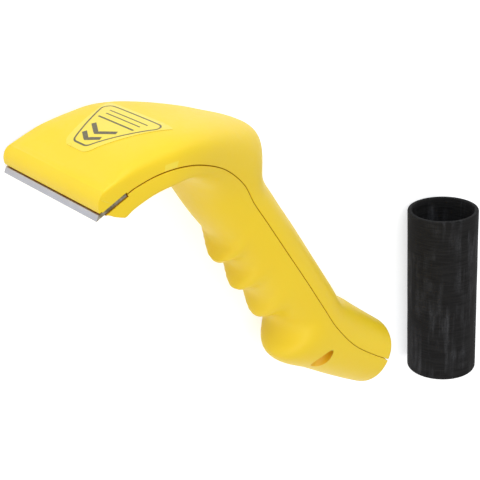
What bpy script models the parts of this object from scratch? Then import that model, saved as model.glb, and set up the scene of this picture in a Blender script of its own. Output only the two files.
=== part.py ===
"""Dust-extracting paint scraper with its loose rubber hose adapter.

A hollow two-shell body clamps a flat steel blade at its nose. A mouth behind the blade
leads through the head and the finger grip to a round hose outlet. The tool lies on its
side, as it rests by itself, and the adapter tube lies on the floor beside it.
The shells are drawn in the tool's own frame: X from the blade's edge towards the hose,
Y across the blade, Z up out of the head's top, with the origin on the cutting edge.
"""
import math

import bmesh
import bpy
import numpy as np
from mathutils import Matrix, Vector

# Body: overall sizes
REACH = 0.1765            # cutting edge to the outlet mouth, along X
DROP = 0.1303             # cutting edge down to the outlet mouth, along Z
ARCH_RISE = 0.0110        # cutting edge up to the parting line's highest point
HEAD_DEPTH = 0.018        # thickness that the head's rows are shares of
GRIP_WIDTH = 0.038
GRIP_DEPTH = 0.031
OUTLET_DIAMETER = 0.036
SHELL_WALL = 0.0025
FINGER_RISE = 0.0065      # height of each swell between two finger grooves

# Blade, screws and their seat
BLADE_WIDTH = 0.0635
BLADE_DEPTH = 0.0148
BLADE_THICKNESS = 0.0015
BEVEL_RUN = 0.0018
BLADE_SLOPE = math.radians(24.7)
SIDE_COVER = 0.00065      # the shells stand this much past each end of the blade
CHEEK_WALL = 0.0030
SEAT_PLATE = 0.0022
MOUTH_LIP_INSET = 0.0085  # the mouth's rear lip lies this far behind the blade
CHEEK_TOE = 0.0034        # cutting edge to the front of the cheeks' flat bottom, along the blade
CHEEK_FALL = math.radians(19.4)   # that bottom falls this steeply towards the hose
BLADE_SCREW_SPACING = 0.032
BLADE_SCREW_INSET = 0.0060  # from the blade's rear edge
BLADE_SCREW_SHANK = 0.0034
BLADE_SCREW_HEAD = 0.0064
BLADE_SCREW_HEAD_HEIGHT = 0.0020
BLADE_SCREW_REACH = 0.0034  # length of shank inside the insert
HEX_SOCKET = 0.0025
HEX_SOCKET_DEPTH = 0.0012
INSERT_DIAMETER = 0.0056
INSERT_LENGTH = 0.0040
NOSE_RIB = 0.0018

# Case screws
CASE_SCREW_SHANK = 0.0028
CASE_SCREW_HEAD = 0.0058
CASE_SCREW_HEAD_HEIGHT = 0.0020
CASE_SCREW_REACH = 0.0085   # from the parting line up into the upper boss
CASE_SCREW_SEAT = 0.0035    # from the parting line down to the head's seat
CASE_RECESS = 0.0082
CASE_BOSS_WALL = 0.0014
HEAD_SCREW_SPACING = 0.0400
REAR_SCREW_SPACING = 0.0258
CROSS_SLOT = 0.0009
CROSS_SLOT_DEPTH = 0.0010

# Label film
LABEL_LENGTH = 0.0310
LABEL_WIDTH = 0.0430         # at its rear edge
LABEL_FRONT_WIDTH = 0.0151
LABEL_FRONT = 0.0130        # blade edge to the label's front edge, along X
LABEL_FILM = 0.0003

# Hose adapter
ADAPTER_DIAMETER = 0.0365
ADAPTER_WALL = 0.0022
ADAPTER_LENGTH = 0.0910
ADAPTER_RIM = 0.0006
ADAPTER_ASIDE = 0.0589      # outlet mouth to the adapter's axis, along the floor
ADAPTER_START = 0.0308      # how far the adapter's end lies past the outlet mouth
ADAPTER_TURN = math.radians(1.7)

# Fits
GAP = 0.0003                # between faces that touch on the real tool
TONGUE = 0.0015             # lip of the lower shell that stands in the upper shell
TONGUE_STOP = 0.0040        # the lip ends this far before the outlet mouth
OVERRUN = 0.0100            # how far a cut runs past the material
SLIVER = 0.000005           # edges shorter than this are welded away

# Counts of facets
RING_POINTS = 28
HOLLOW_POINTS = 20
ROUND_FACETS = 18
ADAPTER_FACETS = 40
SEAM_STEPS = 3
TOP_STEPS = 140
POCKET_STEPS = 5

# Densities for the resting balance, kg per cubic metre
PLASTIC = 1050.0
STEEL = 7800.0
BRASS = 8500.0
LEAN_LIMIT = math.radians(25)   # the tool lies within this of square on its side
SHARP_ANGLE = math.radians(32)

HEAD_WIDTH = BLADE_WIDTH + 2 * SIDE_COVER
HALF_HEAD = HEAD_WIDTH / 2
THROUGH = 2 * GRIP_DEPTH    # long enough to leave the body on either side
BLADE_ALONG = Vector((math.cos(BLADE_SLOPE), 0, math.sin(BLADE_SLOPE)))
BLADE_UP = Vector((-math.sin(BLADE_SLOPE), 0, math.cos(BLADE_SLOPE)))
ACROSS = Vector((0, 1, 0))

# Rows down the body: the parting line's place in shares of REACH, and of ARCH_RISE above
# the cutting edge or of DROP below it, then how far the row has the head's width and depth
# (1) or the outlet's (1) and not the grip's, then the back's and the belly's direction in
# degrees and reach in shares of the depth there, and the squareness of their corners.
BODY_SHARES = (
    (0.0057, 0.1729, 1.00, 0.00, 94, 0.390, -56, 0.040, 24.0, 9.0),
    (0.0181, 0.2547, 1.00, 0.00, 97, 0.440, -63, 0.087, 18.0, 9.0),
    (0.0482, 0.4549, 1.00, 0.00, 96, 0.450, -82, 0.376, 14.0, 12.0),
    (0.0725, 0.6183, 1.00, 0.00, 91, 0.485, -91, 0.511, 9.0, 12.0),
    (0.0992, 0.7818, 1.00, 0.00, 87, 0.525, -96, 0.503, 6.0, 12.0),
    (0.1541, 0.9725, 1.00, 0.00, 80, 0.565, -101, 0.482, 4.5, 11.0),
    (0.2142, 0.9998, 0.99, 0.00, 70, 0.655, -106, 0.447, 4.2, 8.0),
    (0.2844, 0.7451, 0.82, 0.00, 58, 0.720, -125, 0.360, 3.5, 5.0),
    (0.3711, 0.0912, 0.45, 0.00, 49, 0.758, -149, 0.463, 2.9, 3.0),
    (0.4436, -0.0737, 0.16, 0.00, 42, 0.840, -162, 0.585, 2.3, 2.4),
    (0.4850, -0.1589, 0.03, 0.00, 37, 0.525, -154, 0.555, 2.1, 2.2),
    (0.5297, -0.2448, 0.00, 0.00, 34, 0.468, -146, 0.528, 2.2, 2.2),
    (0.5983, -0.3822, 0.00, 0.00, 34, 0.475, -146, 0.532, 2.2, 2.1),
    (0.6663, -0.5180, 0.00, 0.00, 34, 0.469, -146, 0.550, 2.2, 2.1),
    (0.7348, -0.6585, 0.00, 0.07, 35, 0.468, -148, 0.504, 2.2, 2.1),
    (0.7819, -0.7521, 0.00, 0.27, 29, 0.460, -152.6, 0.871, 2.1, 2.1),
    (0.8521, -0.8580, 0.00, 0.73, 53, 0.502, -144, 0.631, 2.0, 2.0),
    (0.9235, -0.9332, 0.00, 1.00, 57, 0.478, -134, 0.532, 2.0, 2.0),
    (1.0000, -1.0000, 0.00, 1.00, 59, 0.440, -118, 0.492, 2.1, 2.1),
)
ROW_STEPS = (1, 1, 1, 1, 1, 2, 2, 2, 3, 2, 2, 6, 6, 6, 3, 3, 2, 1)
FINGER_ROWS = (10.92, 11.73, 12.69, 13.75)   # the grooves before, between and after the swells
SWELL_SKEW = 1.4            # above 1, a swell is highest past its middle
SWELL_POWER = 3.2           # above 1, the grooves between swells are wide
SWELL_TILT = 1.05           # rows that a groove climbs from the belly to the parting line
SWELL_FADE = 6              # how soon a swell fades up the flank
NOSE_ROWS = (1.9, 3.65)     # the nose's pockets lie between these rows
TOP_ROWS = (2, 9)           # the head's top lies between these rows
HOLLOW_ROW = 3.35           # the duct's front end, just behind the blade
HEAD_SCREW_ROW = 6.5
REAR_SCREW_ROW = 15.32
CASE_SCREW_UP = 58          # way up of the case screws, in degrees from X towards Z
LABEL_CORNER = 9.0          # squareness of the label's corners
LABEL_RING_SHARES = (0.34, 0.67, 1.0)
CROWN_SHARE = 0.7           # flat of a case screw's head, to the head's radius
CROWN_HEIGHT_SHARE = 0.4    # rounding of that head, to the head's height
TIP_SHARE = 0.4             # a case screw's tip, to the shank's radius
CROSS_SHARE = 0.6           # length of the cross slots, to the head's diameter
CLOSE_ROWS = 0.2            # rows nearer than this to a form's first row are left out
STEEP_SHARE = 0.7           # a turned piece nearer to X than this starts its rings from Y


def row_at(place):
    """The body's row of values at a place between two rows, on a smooth curve."""
    rows = np.array(BODY_SHARES)
    rows[:, 0] *= REACH
    rows[:, 1] *= np.where(rows[:, 1] > 0, ARCH_RISE, DROP)
    last = len(rows) - 1
    i = min(int(place), last - 1)
    u = place - i
    a, b, c, d = rows[max(i - 1, 0)], rows[i], rows[i + 1], rows[min(i + 2, last)]
    return 0.5 * (2 * b + (c - a) * u + (2 * a - 5 * b + 4 * c - d) * u ** 2
                  + (3 * b - a - 3 * c + d) * u ** 3)


def section_at(place, inset=0.0):
    """Parting point, back and belly arms, half width and corners of one cross-section."""
    row = row_at(place)
    flare, outlet = row[2], row[3]
    grip = 1 - flare - outlet
    depth = HEAD_DEPTH * flare + OUTLET_DIAMETER * outlet + GRIP_DEPTH * grip
    width = HEAD_WIDTH * flare + OUTLET_DIAMETER * outlet + GRIP_WIDTH * grip
    seam = Vector((row[0], 0, row[1]))
    back = direction(row[4]) * (row[5] * depth - inset)
    belly = direction(row[6]) * (row[7] * depth - inset)
    return seam, back, belly, width / 2 - inset, row[8], row[9]


def direction(degrees):
    """Unit vector in the tool's plane, from X towards Z."""
    angle = math.radians(degrees)
    return Vector((math.cos(angle), 0, math.sin(angle)))


def finger_swell(place, rise, belly):
    """Extra reach of the belly between two finger grooves, fading up the flank."""
    place += SWELL_TILT * (1 - rise)
    wave = 0.0
    for first, last in zip(FINGER_ROWS, FINGER_ROWS[1:]):
        if first < place < last:
            share = (place - first) / (last - first)
            wave = math.sin(math.pi * share ** SWELL_SKEW) ** SWELL_POWER
    return belly.normalized() * FINGER_RISE * wave * rise ** SWELL_FADE


def ring_at(place, points, inset=0.0, swell=True):
    """One closed cross-section of the body, as points in the tool's frame."""
    seam, back, belly, half, back_corner, belly_corner = section_at(place, inset)
    ring = []
    for k in range(points):
        angle = 2 * math.pi * k / points
        side = math.cos(angle)
        lift = math.sin(angle)
        upper = lift > 0
        corner = back_corner if upper else belly_corner
        rise = abs(lift) ** (2 / corner)
        spread = math.copysign(abs(side) ** (2 / corner), side) * half
        arm = back * rise if upper else belly * rise
        if swell and not upper:
            arm = arm + finger_swell(place, rise, belly)
        ring.append(seam + arm + ACROSS * spread)
    return ring


def places(first=0.0):
    """Where the body's cross-sections lie, from the nose to the outlet mouth."""
    spots = []
    for i, steps in enumerate(ROW_STEPS):
        spots += [i + j / steps for j in range(steps)]
    spots.append(float(len(ROW_STEPS)))
    return [first] + [s for s in spots if s > first + CLOSE_ROWS]


def top_point(x, y):
    """Point on the head's top at x along and y across, and the way up there."""
    spots = np.linspace(*TOP_ROWS, TOP_STEPS)
    tops = [section_at(s) for s in spots]
    place = np.interp(x, [(t[0] + t[1]).x for t in tops], spots)
    seam, back, _, half, corner, _ = section_at(place)
    rise = (1 - min(abs(y) / half, 1) ** corner) ** (1 / corner)
    return seam + back * rise + ACROSS * y, back.normalized()


def mesh_object(name, bm):
    """A new object from a bmesh, with its faces pointing out."""
    bmesh.ops.recalc_face_normals(bm, faces=bm.faces)
    mesh = bpy.data.meshes.new(name)
    bm.to_mesh(mesh)
    bm.free()
    thing = bpy.data.objects.new(name, mesh)
    bpy.context.collection.objects.link(thing)
    return thing


def loft(name, rings):
    """A closed solid through rings of equally many points, capped by fans."""
    bm = bmesh.new()
    loops = [[bm.verts.new(p) for p in ring] for ring in rings]
    count = len(loops[0])
    for one, two in zip(loops, loops[1:]):
        for k in range(count):
            bm.faces.new((one[k], one[(k + 1) % count], two[(k + 1) % count], two[k]))
    for loop in (loops[0], loops[-1]):
        hub = bm.verts.new((loop[0].co + loop[count // 2].co) / 2)
        for k in range(count):
            bm.faces.new((hub, loop[k], loop[(k + 1) % count]))
    bmesh.ops.triangulate(bm, faces=bm.faces)
    return mesh_object(name, bm)


def prism(name, outline, low, high):
    """A flat outline of points in the tool's plane, carried across from low to high."""
    bm = bmesh.new()
    loops = [[bm.verts.new(Vector(p) + ACROSS * y) for p in outline] for y in (low, high)]
    for k in range(len(outline)):
        n = (k + 1) % len(outline)
        bm.faces.new((loops[0][k], loops[0][n], loops[1][n], loops[1][k]))
    for loop in loops:
        bm.faces.new(loop)
    return mesh_object(name, bm)


def turned(name, base, axis, profile, facets=ROUND_FACETS):
    """A solid of revolution: profile pairs of radius and height along an axis."""
    axis = axis.normalized()
    one = axis.cross(Vector((1, 0, 0)) if abs(axis.x) < STEEP_SHARE else ACROSS).normalized()
    two = axis.cross(one)
    bm = bmesh.new()
    loops = []
    for radius, height in profile:
        centre = base + axis * height
        if radius == 0:
            loops.append([bm.verts.new(centre)] * facets)
            continue
        turns = [2 * math.pi * k / facets for k in range(facets)]
        loops.append([bm.verts.new(centre + one * radius * math.cos(a) + two * radius * math.sin(a))
                      for a in turns])
    for low, high in zip(loops, loops[1:]):
        for k in range(facets):
            n = (k + 1) % facets
            corners = list(dict.fromkeys((low[k], low[n], high[n], high[k])))
            bm.faces.new(corners)
    return mesh_object(name, bm)


def column(name, base, axis, radius, low, high):
    """A plain round bar along an axis, between two heights."""
    return turned(name, base, axis, ((0, low), (radius, low), (radius, high), (0, high)))


def joined(name, things):
    """Several cutters that don't meet, as one object."""
    bm = bmesh.new()
    for thing in things:
        bm.from_mesh(thing.data)
        bpy.data.objects.remove(thing)
    return mesh_object(name, bm)


def combine(target, tool, operation):
    """Apply one exact Boolean to an object and remove its tool."""
    boolean = target.modifiers.new(operation, 'BOOLEAN')
    boolean.operation = operation
    boolean.solver = 'EXACT'
    boolean.object = tool
    graph = bpy.context.evaluated_depsgraph_get()
    mesh = bpy.data.meshes.new_from_object(target.evaluated_get(graph))
    target.modifiers.clear()
    target.data = mesh
    mesh.name = target.name
    bpy.data.objects.remove(tool)
    tidy_mesh(mesh)
    return target


def tidy_mesh(mesh):
    """Weld slivers that a cut leaves, and split every face into triangles."""
    bm = bmesh.new()
    bm.from_mesh(mesh)
    bmesh.ops.remove_doubles(bm, verts=bm.verts, dist=SLIVER)
    bmesh.ops.dissolve_degenerate(bm, edges=bm.edges, dist=SLIVER)
    loose = [e for e in bm.edges if len(e.link_faces) == 1]
    if loose:
        bmesh.ops.holes_fill(bm, edges=loose, sides=0)
        bmesh.ops.dissolve_degenerate(bm, edges=bm.edges, dist=SLIVER)
    bmesh.ops.triangulate(bm, faces=bm.faces)
    bm.to_mesh(mesh)
    bm.free()


def copy_of(thing, name):
    """A separate copy of an object and its mesh."""
    twin = bpy.data.objects.new(name, thing.data.copy())
    bpy.context.collection.objects.link(twin)
    return twin


def seam_line(offset, first_x, extend=True):
    """The parting line from a little past first_x to the outlet, moved up by offset."""
    spots = np.linspace(0, len(ROW_STEPS), SEAM_STEPS * len(ROW_STEPS) + 1)
    points = [section_at(s)[0] for s in spots]
    line = []
    for i, point in enumerate(points):
        before, after = points[max(i - 1, 0)], points[min(i + 1, len(points) - 1)]
        run = (after - before).normalized()
        up = Vector((-run.z, 0, run.x))
        if point.x > first_x:
            line.append(point + up * offset)
    if extend:
        line.append(line[-1] + (line[-1] - line[-2]).normalized() * OVERRUN)
    return line


def blade_point(along, up):
    """A point in the blade's frame: along from the cutting edge, up from its flat face."""
    return BLADE_ALONG * along + BLADE_UP * up


def parting_outline(upper):
    """Outline of everything above, or below, the blade and the parting line."""
    side = 1 if upper else -1
    face = BLADE_THICKNESS + GAP if upper else -GAP
    middle = BLADE_THICKNESS / 2 + side * GAP / 2
    rear = BLADE_DEPTH + GAP
    start = [blade_point(-2 * OVERRUN, face), blade_point(rear, face), blade_point(rear, middle)]
    line = seam_line(side * GAP / 2, blade_point(rear, middle).x + 2 * TONGUE)
    end = line[-1]
    if upper:
        corners = [Vector((end.x + REACH, 0, end.z)), Vector((end.x + REACH, 0, REACH)),
                   Vector((start[0].x, 0, REACH))]
    else:
        corners = [Vector((end.x, 0, end.z - REACH)), Vector((start[0].x, 0, end.z - REACH))]
    return start + line + corners


def band_outline(low, high):
    """A band along the parting line, from behind the blade to the lip's end."""
    first = blade_point(BLADE_DEPTH, 0).x + 4 * TONGUE
    upper = seam_line(high, first, extend=False)
    lower = seam_line(low, first, extend=False)
    stop = section_at(len(ROW_STEPS))[0]
    back = [p for p in upper if (p - stop).length > TONGUE_STOP]
    front = [p for p in lower if (p - stop).length > TONGUE_STOP]
    return back + front[::-1]


def hollow_solid(name):
    """The duct from behind the blade to past the outlet mouth, less the screws' bosses."""
    rings = [ring_at(s, HOLLOW_POINTS, SHELL_WALL, swell=False) for s in places(HOLLOW_ROW)]
    run = outlet_axis()
    rings.append([p + run * OVERRUN for p in rings[-1]])
    hollow = loft(name, rings)
    for base, axis in case_screw_axes():
        radius = CASE_RECESS / 2 + CASE_BOSS_WALL
        combine(hollow, column('boss', base, axis, radius, -THROUGH, THROUGH), 'DIFFERENCE')
    return hollow


def outlet_axis():
    """Unit vector out of the outlet mouth."""
    _, back, _, _, _, _ = section_at(len(ROW_STEPS))
    up = back.normalized()
    return Vector((up.z, 0, -up.x))


def case_screw_axes():
    """Where each case screw crosses the parting line, and its way up."""
    axes = []
    for row, spacing in ((HEAD_SCREW_ROW, HEAD_SCREW_SPACING), (REAR_SCREW_ROW, REAR_SCREW_SPACING)):
        seam = section_at(row)[0]
        for side in (-1, 1):
            axes.append((seam + ACROSS * side * spacing / 2, direction(CASE_SCREW_UP)))
    return axes


def blade_screw_bases():
    """Points on the blade's flat lower face where its screws pass."""
    middle = blade_point(BLADE_DEPTH - BLADE_SCREW_INSET, 0)
    return [middle + ACROSS * side * BLADE_SCREW_SPACING / 2 for side in (-1, 1)]


def cut_nose_pockets(shell):
    """Hollow the nose above the blade's seat, between ribs and the insert bosses."""
    floor = BLADE_THICKNESS + GAP + SEAT_PLATE
    tops = []
    for place in np.linspace(*NOSE_ROWS, POCKET_STEPS + 1):
        seam, back, _, _, _, _ = section_at(place, SHELL_WALL)
        tops.append(seam + back)
    front = blade_point(tops[0].dot(BLADE_ALONG), floor)
    rear = blade_point(tops[-1].dot(BLADE_ALONG), floor)
    boss = INSERT_DIAMETER / 2 + GAP + NOSE_RIB
    screw_y = BLADE_SCREW_SPACING / 2
    spans = ((NOSE_RIB / 2, screw_y - boss), (screw_y + boss, HALF_HEAD - CHEEK_WALL))
    pockets = []
    for low, high in spans:
        for side in (-1, 1):
            ends = sorted((side * low, side * high))
            pockets.append(prism('pocket', [front, rear] + tops[::-1], ends[0], ends[1]))
    combine(shell, joined('pockets', pockets), 'DIFFERENCE')


def make_upper_shell(outer, hollow, groove):
    """Back of the body: nose, head top and the grip's back."""
    shell = copy_of(outer, 'upper_shell')
    half = HALF_HEAD + OVERRUN
    combine(shell, prism('above', parting_outline(True), -half, half), 'INTERSECT')
    combine(shell, groove, 'DIFFERENCE')
    combine(shell, hollow, 'DIFFERENCE')
    cut_nose_pockets(shell)
    face = BLADE_THICKNESS
    for base in blade_screw_bases():
        hole = column('hole', base, BLADE_UP, INSERT_DIAMETER / 2 + GAP, face - OVERRUN,
                      face + INSERT_LENGTH + 2 * GAP)
        combine(shell, hole, 'DIFFERENCE')
    for base, up in case_screw_axes():
        hole = column('hole', base, up, CASE_SCREW_SHANK / 2 + GAP, -OVERRUN / 2,
                      CASE_SCREW_REACH + GAP)
        combine(shell, hole, 'DIFFERENCE')
    return shell


def make_lower_shell(outer, hollow, tongue):
    """Front of the body: cheeks, mouth, underside and the finger grip."""
    shell = copy_of(outer, 'lower_shell')
    half = HALF_HEAD + OVERRUN
    combine(shell, prism('below', parting_outline(False), -half, half), 'INTERSECT')
    combine(shell, tongue, 'UNION')
    combine(shell, hollow, 'DIFFERENCE')
    combine(shell, mouth_solid(), 'DIFFERENCE')
    combine(shell, cheek_cut(), 'DIFFERENCE')
    for base, up in case_screw_axes():
        combine(shell, column('hole', base, up, CASE_SCREW_SHANK / 2 + GAP, -OVERRUN, OVERRUN),
                'DIFFERENCE')
        recess = column('recess', base, up, CASE_RECESS / 2, -THROUGH, -CASE_SCREW_SEAT)
        combine(shell, recess, 'DIFFERENCE')
    return shell


def mouth_solid():
    """The suction mouth under the blade, between the cheeks."""
    lip = blade_point(BLADE_DEPTH, 0).x + MOUTH_LIP_INSET
    roof = blade_point(BLADE_DEPTH, BLADE_THICKNESS)
    outline = [Vector((-OVERRUN, 0, -OVERRUN)), Vector((lip, 0, -OVERRUN)),
               Vector((lip, 0, roof.z)), Vector((-OVERRUN, 0, roof.z))]
    half = HALF_HEAD - CHEEK_WALL
    return prism('mouth', outline, -half, half)


def cheek_cut():
    """What is cut away below the cheeks, so that their bottoms are flat."""
    toe = blade_point(CHEEK_TOE, 0)
    run = Vector((math.cos(CHEEK_FALL), 0, -math.sin(CHEEK_FALL)))
    start = toe - run * OVERRUN
    end = toe + run * 2 * OVERRUN
    down = Vector((0, 0, -2 * OVERRUN))
    half = HALF_HEAD + OVERRUN
    return prism('cheek_cut', [start, end, end + down, start + down], -half, half)


def make_shells():
    """Both shells, cut from one outer form by the parting line, the lip and the duct."""
    outer = loft('outer', [ring_at(s, RING_POINTS) for s in places()])
    middle = SHELL_WALL / 2
    half = HALF_HEAD + OVERRUN
    inner_form = [ring_at(s, HOLLOW_POINTS, middle + GAP / 2, swell=False) for s in places(HOLLOW_ROW)]
    groove_form = [ring_at(s, HOLLOW_POINTS, middle - GAP / 2, swell=False) for s in places(HOLLOW_ROW)]
    tongue = loft('tongue', inner_form)
    combine(tongue, prism('band', band_outline(-TONGUE, TONGUE), -half, half), 'INTERSECT')
    groove = loft('groove', groove_form)
    combine(groove, prism('band', band_outline(-TONGUE, TONGUE + GAP), -half, half), 'INTERSECT')
    upper = make_upper_shell(outer, hollow_solid('hollow'), groove)
    lower = make_lower_shell(outer, hollow_solid('hollow'), tongue)
    bpy.data.objects.remove(outer)
    return [(upper, PLASTIC), (lower, PLASTIC)]


def make_blade():
    """Flat steel blade with one ground edge and two screw holes."""
    outline = [blade_point(0, 0), blade_point(BLADE_DEPTH, 0),
               blade_point(BLADE_DEPTH, BLADE_THICKNESS), blade_point(BEVEL_RUN, BLADE_THICKNESS)]
    blade = prism('scraper_blade', outline, -BLADE_WIDTH / 2, BLADE_WIDTH / 2)
    for base in blade_screw_bases():
        hole = column('hole', base, BLADE_UP, BLADE_SCREW_SHANK / 2 + GAP, -OVERRUN, OVERRUN)
        combine(blade, hole, 'DIFFERENCE')
    return [(blade, STEEL)]


def make_blade_screws():
    """Socket-head screws from the mouth up through the blade, and their brass inserts."""
    pieces = []
    names = ('left', 'right')
    for name, base in zip(names, blade_screw_bases()):
        head = BLADE_SCREW_HEAD / 2
        low = -GAP - BLADE_SCREW_HEAD_HEIGHT
        tip = BLADE_THICKNESS + GAP + BLADE_SCREW_REACH
        shank = BLADE_SCREW_SHANK / 2
        screw = turned('blade_screw_' + name, base, BLADE_UP,
                       ((0, low), (head, low), (head, -GAP), (shank, -GAP), (shank, tip), (0, tip)))
        socket = turned('socket', base, BLADE_UP,
                        ((0, low - GAP), (HEX_SOCKET / 2, low - GAP),
                         (HEX_SOCKET / 2, low + HEX_SOCKET_DEPTH), (0, low + HEX_SOCKET_DEPTH)), 6)
        combine(screw, socket, 'DIFFERENCE')
        start = BLADE_THICKNESS + 2 * GAP
        bore = shank + GAP
        outer = INSERT_DIAMETER / 2
        insert = turned('blade_insert_' + name, base, BLADE_UP,
                        ((bore, start), (outer, start), (outer, start + INSERT_LENGTH - GAP),
                         (bore, start + INSERT_LENGTH - GAP), (bore, start)))
        bmesh_weld(insert)
        pieces += [(screw, STEEL), (insert, BRASS)]
    return pieces


def bmesh_weld(thing):
    """Weld the doubled ring where a turned profile closes on itself."""
    bm = bmesh.new()
    bm.from_mesh(thing.data)
    bmesh.ops.remove_doubles(bm, verts=bm.verts, dist=GAP / 100)
    bmesh.ops.recalc_face_normals(bm, faces=bm.faces)
    bm.to_mesh(thing.data)
    bm.free()


def make_case_screws():
    """Cross-head screws that hold the shells together."""
    pieces = []
    names = ('head_left', 'head_right', 'rear_left', 'rear_right')
    for name, (base, up) in zip(names, case_screw_axes()):
        head = CASE_SCREW_HEAD / 2
        shank = CASE_SCREW_SHANK / 2
        seat = -CASE_SCREW_SEAT - GAP
        low = seat - CASE_SCREW_HEAD_HEIGHT
        crown = low + CROWN_HEIGHT_SHARE * CASE_SCREW_HEAD_HEIGHT
        point = CASE_SCREW_REACH - CASE_SCREW_SHANK / 2
        screw = turned('case_screw_' + name, base, up,
                       ((0, low), (CROWN_SHARE * head, low), (head, crown),
                        (head, seat), (shank, seat), (shank, point),
                        (TIP_SHARE * shank, CASE_SCREW_REACH), (0, CASE_SCREW_REACH)))
        along = up.cross(ACROSS)
        length = CROSS_SHARE * CASE_SCREW_HEAD
        for one, two in ((along, ACROSS), (ACROSS, along)):
            slot = bar('slot', base + up * low, one, two, up, length, CROSS_SLOT, CROSS_SLOT_DEPTH)
            combine(screw, slot, 'DIFFERENCE')
        pieces.append((screw, STEEL))
    return pieces


def bar(name, centre, along, across, up, length, width, height):
    """A small box about a centre, with its own three directions."""
    bm = bmesh.new()
    grid = {}
    for i in (-1, 1):
        for j in (-1, 1):
            for k in (-1, 1):
                spot = centre + along * i * length / 2 + across * j * width / 2 + up * k * height
                grid[i, j, k] = bm.verts.new(spot)
    for axis in range(3):
        for end in (-1, 1):
            corners = []
            for p, q in ((-1, -1), (-1, 1), (1, 1), (1, -1)):
                key = [p, q]
                key.insert(axis, end)
                corners.append(grid[tuple(key)])
            bm.faces.new(corners)
    return mesh_object(name, bm)


def make_label():
    """Thin printed film on the head's top, narrower towards the blade."""
    centre_x = LABEL_FRONT + LABEL_LENGTH / 2
    taper = (LABEL_WIDTH - LABEL_FRONT_WIDTH) / LABEL_LENGTH
    layers = []
    for height in (GAP, GAP + LABEL_FILM):
        rings = []
        for share in LABEL_RING_SHARES:
            ring = []
            for k in range(RING_POINTS):
                angle = 2 * math.pi * k / RING_POINTS
                c, s = math.cos(angle), math.sin(angle)
                x = math.copysign(abs(c) ** (2 / LABEL_CORNER), c) * LABEL_LENGTH / 2
                width = (LABEL_WIDTH + LABEL_FRONT_WIDTH) / 2 + taper * x
                y = math.copysign(abs(s) ** (2 / LABEL_CORNER), s) * width / 2
                spot, up = top_point(centre_x + share * x, share * y)
                ring.append(spot + up * height)
            rings.append(ring)
        layers.append(rings)
    label = loft('label_film', layers[0] + layers[1][::-1])
    return [(label, 0.0)]


def make_adapter():
    """Plain rubber tube that joins the outlet to a vacuum hose."""
    outer = ADAPTER_DIAMETER / 2
    bore = outer - ADAPTER_WALL
    rim = ADAPTER_RIM
    end = ADAPTER_LENGTH
    profile = ((bore, rim), (bore + rim, 0), (outer - rim, 0), (outer, rim), (outer, end - rim),
               (outer - rim, end), (bore + rim, end), (bore, end - rim), (bore, rim))
    tube = turned('hose_adapter', Vector((0, 0, 0)), ACROSS, profile, ADAPTER_FACETS)
    bmesh_weld(tube)
    return tube


def solid_points(thing):
    """Corners of an object's mesh, and its volume and centre of volume."""
    bm = bmesh.new()
    bm.from_mesh(thing.data)
    bmesh.ops.triangulate(bm, faces=bm.faces)
    volume = 0.0
    moment = Vector((0, 0, 0))
    for face in bm.faces:
        a, b, c = (v.co for v in face.verts)
        part = a.dot(b.cross(c)) / 6
        volume += part
        moment += part * (a + b + c) / 4
    corners = [v.co.copy() for v in bm.verts]
    bm.free()
    return corners, volume, moment / volume


def resting_down(pieces):
    """The tool's own direction that points down when it lies on its +Y side.

    The tool rests on the face of its convex hull that the balance point stands over.
    """
    bm = bmesh.new()
    mass = 0.0
    balance = Vector((0, 0, 0))
    for thing, density in pieces:
        corners, volume, centre = solid_points(thing)
        mass += volume * density
        balance += centre * volume * density
        for corner in corners:
            bm.verts.new(corner)
    balance /= mass
    hull = bmesh.ops.convex_hull(bm, input=bm.verts)
    faces = [g for g in hull['geom'] if isinstance(g, bmesh.types.BMFace)]
    best, best_down = None, ACROSS.copy()
    for face in faces:
        down = face.normal.normalized()
        if down.dot(face.verts[0].co - balance) < 0:
            down = -down
        if down.angle(ACROSS) > LEAN_LIMIT:
            continue
        miss = outside_by(balance, [v.co for v in face.verts], down)
        if best is None or miss < best:
            best, best_down = miss, down
    bm.free()
    return best_down


def outside_by(point, corners, down):
    """How far a point, looked at along down, lies outside a flat convex face."""
    centre = sum(corners, Vector((0, 0, 0))) / len(corners)
    worst = -math.inf
    for one, two in zip(corners, corners[1:] + corners[:1]):
        outward = (two - one).cross(down).normalized()
        if outward.dot(centre - one) > 0:
            outward = -outward
        worst = max(worst, outward.dot(point - one))
    return worst


def finish(thing, colour, roughness, metallic, parent):
    """Give a piece its material, smooth shading and parent."""
    material = bpy.data.materials.new(thing.name)
    material.use_nodes = True
    shader = material.node_tree.nodes['Principled BSDF']
    shader.inputs['Base Color'].default_value = (*colour, 1)
    shader.inputs['Roughness'].default_value = roughness
    shader.inputs['Metallic'].default_value = metallic
    thing.data.materials.clear()
    thing.data.materials.append(material)
    thing.data.shade_smooth()
    thing.data.set_sharp_from_angle(angle=SHARP_ANGLE)
    thing.parent = parent


def looks_of(name):
    """Colour, roughness and metallic value of a piece."""
    if 'shell' in name:
        return (0.86, 0.62, 0.035), 0.42, 0.0
    if name == 'scraper_blade':
        return (0.42, 0.42, 0.44), 0.32, 1.0
    if 'insert' in name:
        return (0.62, 0.44, 0.16), 0.35, 1.0
    if 'screw' in name:
        return (0.40, 0.40, 0.41), 0.35, 1.0
    if name == 'label_film':
        return (0.80, 0.70, 0.20), 0.30, 0.0
    return (0.028, 0.028, 0.030), 0.75, 0.0


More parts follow.
